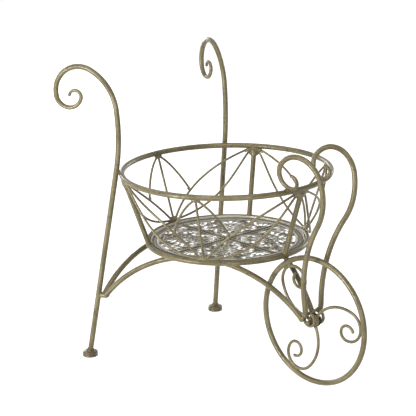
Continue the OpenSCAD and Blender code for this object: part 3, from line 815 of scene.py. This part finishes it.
# Braces: a short stub on each leg carries one end of the arches. One arch runs across the back,
# and one down each side to the wheel, of bar bent to a single sweep that passes under the basket.
stub_height, stub_length = 110.0, 16.0
side_rise, rear_rise = 83.5, 66.0
wheel_reach = 185.5
eye_offset, eye_radius, eye_rod_radius = 11.0, 10.5, 2.5
wheel_radius, wheel_bar_radius = 102.2, 4.5
axle_radius = 3.5
axle_height = wheel_radius + wheel_bar_radius
eye_height = axle_height + eye_radius - eye_rod_radius - axle_radius
fork_y = eye_offset + eye_rod_radius + bar_radius + weld_gap


def arch_path(start, end, rise):
    """Points along one arc of a circle that rises above the line between its ends."""
    start, end = np.array(start, float), np.array(end, float)
    chord = np.linalg.norm(end - start)
    radius = chord * chord / (8 * rise) + rise / 2
    half = math.asin(chord / 2 / radius)
    t = (end - start) / chord
    up = unit(np.array([0, 0, 1]) - t * t[2])
    middle = (start + end) / 2 - up * (radius - rise)
    steps = int(2 * half * radius / path_spacing)
    return [middle + radius * (t * math.sin(a) + up * math.cos(a))
            for a in np.linspace(-half, half, steps)]


brace_welds, side_arches = [], {}
for side, way in both_sides:
    leg_out = leg_along(stub_height)
    stub = straight(leg_point(leg_out, stub_height, way),
                    leg_point(leg_out - stub_length, stub_height, way), 1.5)
    make_piece(side + "_leg_stub", [round_bar(stub, bar_radius)], bronze,
               stands_for=[side + "_stub"])
    higher = stub_height + 10
    leg_line = leg_point(leg_along(higher), higher, way) - stub[0]
    brace_welds.append(ring_bead(saddle(stub[0], stub[-1] - stub[0], leg_line, bar_radius - 0.3,
                                        bar_radius + 0.3), bead_width))
    start = leg_point(leg_out - stub_length + 0.6 * bar_radius, stub_height, way)
    end = (wheel_reach - eye_radius - eye_rod_radius, way * (fork_y - bar_radius), eye_height - 2)
    arch = side_arches[side] = arch_path(start, end, side_rise)
    make_piece(side + "_brace_arch", [round_bar(arch, bar_radius)], bronze,
               stands_for=[side + "_arch"])
    brace_welds.append(fused([(arch[0] + (0, 0, 3.4), 3.4), (arch[1] - (0, 0, 1), 4.9),
                              (arch[3], 4.3)]))
rear_start = leg_point(leg_along(stub_height) - 0.6 * stub_length, stub_height, -1)
rear_path = arch_path(rear_start, rear_start * (1, -1, 1), rear_rise)
make_piece("rear_brace_arch", [round_bar(rear_path, bar_radius)], bronze, stands_for=["rear_arch"])
make_piece("brace_welds", brace_welds, bronze)

# Axle eyes: small rings of rod on both sides of the wheel. The plain pin is welded through them,
# and two sleeves and a washer keep the wheel in the middle. All but the washer are painted bronze.
# The washer's black is painted shade: the deep shade between the hub and the far eye.
rod_sides = 18
eye_welds = []
for side, way in both_sides:
    eye_path = [(wheel_reach + eye_radius * math.cos(a), way * eye_offset,
                 eye_height + eye_radius * math.sin(a)) for a in all_round(60)]
    make_piece(side + "_axle_eye", [round_bar(eye_path, eye_rod_radius, rod_sides, closed=True)],
               bronze, stands_for=[side + "_eye"])
    arch_end = side_arches[side][-1]
    toward_eye = np.array([wheel_reach - eye_radius, way * eye_offset, eye_height]) - arch_end
    eye_welds.append(fused([(arch_end - (1.0, 0, 0), 4.6), (arch_end + toward_eye * 0.5, 3.6),
                            (arch_end + toward_eye, 3.0), (arch_end + (1.5, 0, 3.5), 3.2)]))
make_piece("eye_welds", eye_welds, bronze)


def blacking():
    """Washer painted black as painted shade, the deep shade between the hub and the far eye,
    scuffed grey.
    """
    painted_shade_black, scuffed = (0.013, 0.013, 0.014), (0.07, 0.068, 0.062)
    finish, tree, shader, place = new_finish("washer_painted_shade")
    scuffs = patches(tree, place, 2, 0.5, 0.75, 4.0)
    tree.links.new(between(tree, scuffs, painted_shade_black, scuffed), shader.inputs["Base Color"])
    tree.links.new(scaled(tree, scuffs, 0.25, 0.5), shader.inputs["Roughness"])
    tree.links.new(raised(tree, [(scuffs, 0.03)]), shader.inputs["Normal"])
    return finish


def repainted(names, finish):
    """CAD solids that stay as they are, in a better finish."""
    for name in names:
        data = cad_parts[name].data
        data.materials.clear()
        data.materials.append(finish)


repainted(["left_sleeve", "right_sleeve", "axle"], bronze)
# The washer's black is painted shade, standing for the deep shade between the hub and the far eye.
repainted(["axle_washer"], blacking())

# Forks: an S-shaped bar each side, from a weld on the outside of the eye up to the rim, where the
# start of its curl rests and is tacked. The curls are drawn down like the handles'.
fork_lean, fork_back, fork_foot = 5.5, 3.0, 8.5
fork_size = 1.03576
fork_heading = 71.216
fork_bends = [(31, 23), (222, -37.5), (90.5, 47.5), (43, 127)]
fork_curl = [(22, 138), (10, 182)]
fork_flat, fork_gone = bent_path((0, 0, fork_heading),
                                 [(r * fork_size, t) for r, t in fork_bends + fork_curl],
                                 bent_spacing)
fork_bar_length = sum(r * fork_size * math.radians(abs(t)) for r, t in fork_bends)
fork_radii = drawn_radii(fork_gone, 0, fork_bar_length)
fork_welds = []
above_eye = 60
for side, way in both_sides:
    c, s = cos_sin(fork_lean)
    fork_path = [(wheel_reach - fork_back + x, way * (fork_y + y * s),
                  eye_height + fork_foot + y * c) for x, y in fork_flat]
    make_piece(side + "_fork_bar", [round_bar(fork_path, fork_radii, bar_sides)], bronze,
               stands_for=[side + "_fork"])
    fork_welds.append(tack(fork_path[above_eye:], rim_path, 5.0, 2.3))
    foot = np.array(fork_path[0])
    on_eye = np.array([wheel_reach - fork_back, way * eye_offset,
                       eye_height + math.sqrt(eye_radius ** 2 - fork_back ** 2)])
    fork_welds.append(fused([(foot + (0, 0, 1.6), 4.7), (foot - (0, way * 2.4, 1.0), 4.0),
                             (on_eye, 3.2), ((foot + on_eye) / 2, 3.9)]))
make_piece("fork_welds", fork_welds, bronze)

# Wheel: a rolled and welded hoop with three scroll spokes of thinner rod inside it, welded to the
# hoop and to a short hub tube that turns on the pin.
spoke_radius = 2.5
hub_radius, hub_length, hub_bore = 9.0, 8.0, 3.58
spoke_bends = [(0.65, -75), (0.28, -60), (0.25, -116), (0.13, -121), (0.13, -121)]
spoke_size = 94.783
spoke_angle, spoke_heading = 51, 55.5
wheel_path = [(wheel_reach + wheel_radius * math.cos(a), 0,
               axle_height + wheel_radius * math.sin(a)) for a in all_round(290)]
make_piece("wheel_hoop", [round_bar(wheel_path, wheel_bar_radius, hoop_sides, closed=True)],
           bronze, body="wheel", stands_for=["wheel_rim"])
hub_half = [(hub_bore, 0.3), (hub_bore + 0.5, 0), (hub_radius - 0.8, 0), (hub_radius - 0.2, 0.25),
            (hub_radius, 0.9)]
hub_profile = [(r, z - hub_length / 2) for r, z in hub_half]
hub_profile += [(r, hub_length / 2 - z) for r, z in hub_half[::-1]]
points, faces = turned(hub_profile, 72)
points = np.column_stack([points[:, 0] + wheel_reach, points[:, 2], axle_height + points[:, 1]])
make_piece("wheel_hub_tube", [(points, faces, points)], bronze, body="wheel",
           stands_for=["wheel_hub"])
spoke_start = hub_radius + weld_gap
c, s = cos_sin(spoke_angle)
spoke_flat = bent_path((spoke_start * c, spoke_start * s, spoke_heading),
                       [(r * spoke_size, t) for r, t in spoke_bends], 1.4)[0]
spoke_welds = []
for i in range(3):
    c, s = cos_sin(-120 * i)
    path = [(wheel_reach + x * c + y * s, 0, axle_height - x * s + y * c) for x, y in spoke_flat]
    make_piece(f"wheel_scroll_{i + 1}", [round_bar(path, spoke_radius, rod_sides)], bronze,
               body="wheel", stands_for=[f"wheel_spoke_{i + 1}"])
    reach = [math.hypot(x - wheel_reach, z - axle_height) for x, y, z in path]
    j = int(np.argmax(reach))
    touching = np.array(path[j])
    out = (touching - (wheel_reach, 0, axle_height)) / reach[j]
    round_way = np.cross(out, (0, 1, 0))
    at = touching + out * (spoke_radius + 0.1)
    spoke_welds.append(fused([(at + round_way * s - out * abs(s) * 0.05, 2.3 - abs(s) * 0.06)
                              for s in (-8, -4.5, -1.5, 1.5, 4.5, 8)]))
    spoke_welds.append(fused([(np.array(path[0]), 3.0), (np.array(path[2]), 2.8)]))
make_piece("spoke_welds", spoke_welds, bronze, body="wheel")

# Studio: a white floor and a white surround with a large soft lamp to the left of the camera and
# weaker ones to its right, far to its left, behind the stand and above. The camera stands where the
# photograph was taken from.
floor_size, floor_white, floor_glow = 12, 0.9, 0.88
floor_mesh = bpy.data.meshes.new("floor")
shape = bmesh.new()
bmesh.ops.create_grid(shape, x_segments=8, y_segments=8, size=floor_size)
shape.to_mesh(floor_mesh)
shape.free()
floor = bpy.data.objects.new("floor", floor_mesh)
bpy.context.scene.collection.objects.link(floor)
floor_paint = bpy.data.materials.new("floor_white")
floor_paint.use_nodes = True
floor_shader = floor_paint.node_tree.nodes["Principled BSDF"]
floor_shader.inputs["Base Color"].default_value = (floor_white, floor_white, floor_white, 1)
floor_shader.inputs["Roughness"].default_value = 1.0
floor_shader.inputs["Specular IOR Level"].default_value = 0.0
floor_shader.inputs["Emission Color"].default_value = (1, 1, 1, 1)
floor_mesh.materials.append(floor_paint)


def background_rays(tree):
    """1 for the rays that see the background: the camera's, and those in metal and glass."""
    rays = tree.nodes.new("ShaderNodeLightPath")
    seen = rays.outputs["Is Camera Ray"]
    for kind in ("Is Glossy Ray", "Is Transmission Ray"):
        most = tree.nodes.new("ShaderNodeMath")
        most.operation = "MAXIMUM"
        tree.links.new(seen, most.inputs[0])
        tree.links.new(rays.outputs[kind], most.inputs[1])
        seen = most.outputs[0]
    return seen


seen = background_rays(floor_paint.node_tree)
floor_paint.node_tree.links.new(scaled(floor_paint.node_tree, seen, floor_glow),
                                floor_shader.inputs["Emission Strength"])

world = bpy.data.worlds.new("studio")
bpy.context.scene.world = world
world.use_nodes = True
tree = world.node_tree
surround = tree.nodes["Background"]
surround.inputs["Color"].default_value = (1, 1, 1, 1)
ambient = 0.12
tree.links.new(scaled(tree, background_rays(tree), 1 - ambient, ambient),
               surround.inputs["Strength"])


def lamp(name, at, towards, size, power):
    data = bpy.data.lights.new(name, "AREA")
    data.shape, data.size, data.energy = "DISK", size, power
    made = bpy.data.objects.new(name, data)
    made.location = at
    made.rotation_euler = (Vector(towards) - Vector(at)).to_track_quat("-Z", "Y").to_euler()
    bpy.context.scene.collection.objects.link(made)


object_middle = (0, 0, 0.25)
lamp("key_lamp", (-0.3, -2.7, 0.5), object_middle, 0.7, 49)
lamp("fill_lamp", (2.2, -1.5, 0.6), object_middle, 0.9, 11)
lamp("side_lamp", (-2.4, 0.9, 0.7), object_middle, 0.9, 15)
lamp("back_lamp", (-0.2, 2.7, 0.8), object_middle, 0.9, 14)
lamp("top_lamp", (0.2, -0.9, 2.6), object_middle, 1.1, 13)

camera_at = Vector((1.75331, -1.87443, 0.99576))
camera_towards = Vector((0.39618, -0.48599, 0.44344))
camera_roll, camera_lens, sensor_width = -1.179, 142.571, 36.0
camera_data = bpy.data.cameras.new("camera")
camera_data.lens, camera_data.sensor_width = camera_lens, sensor_width
camera = bpy.data.objects.new("camera", camera_data)
bpy.context.scene.collection.objects.link(camera)
camera.location = camera_at
camera.rotation_euler = (camera_towards - camera_at).to_track_quat("-Z", "Y").to_euler()
camera.rotation_euler.rotate_axis("Z", math.radians(camera_roll))
bpy.context.scene.camera = camera
bpy.context.scene.view_settings.view_transform = "Standard"
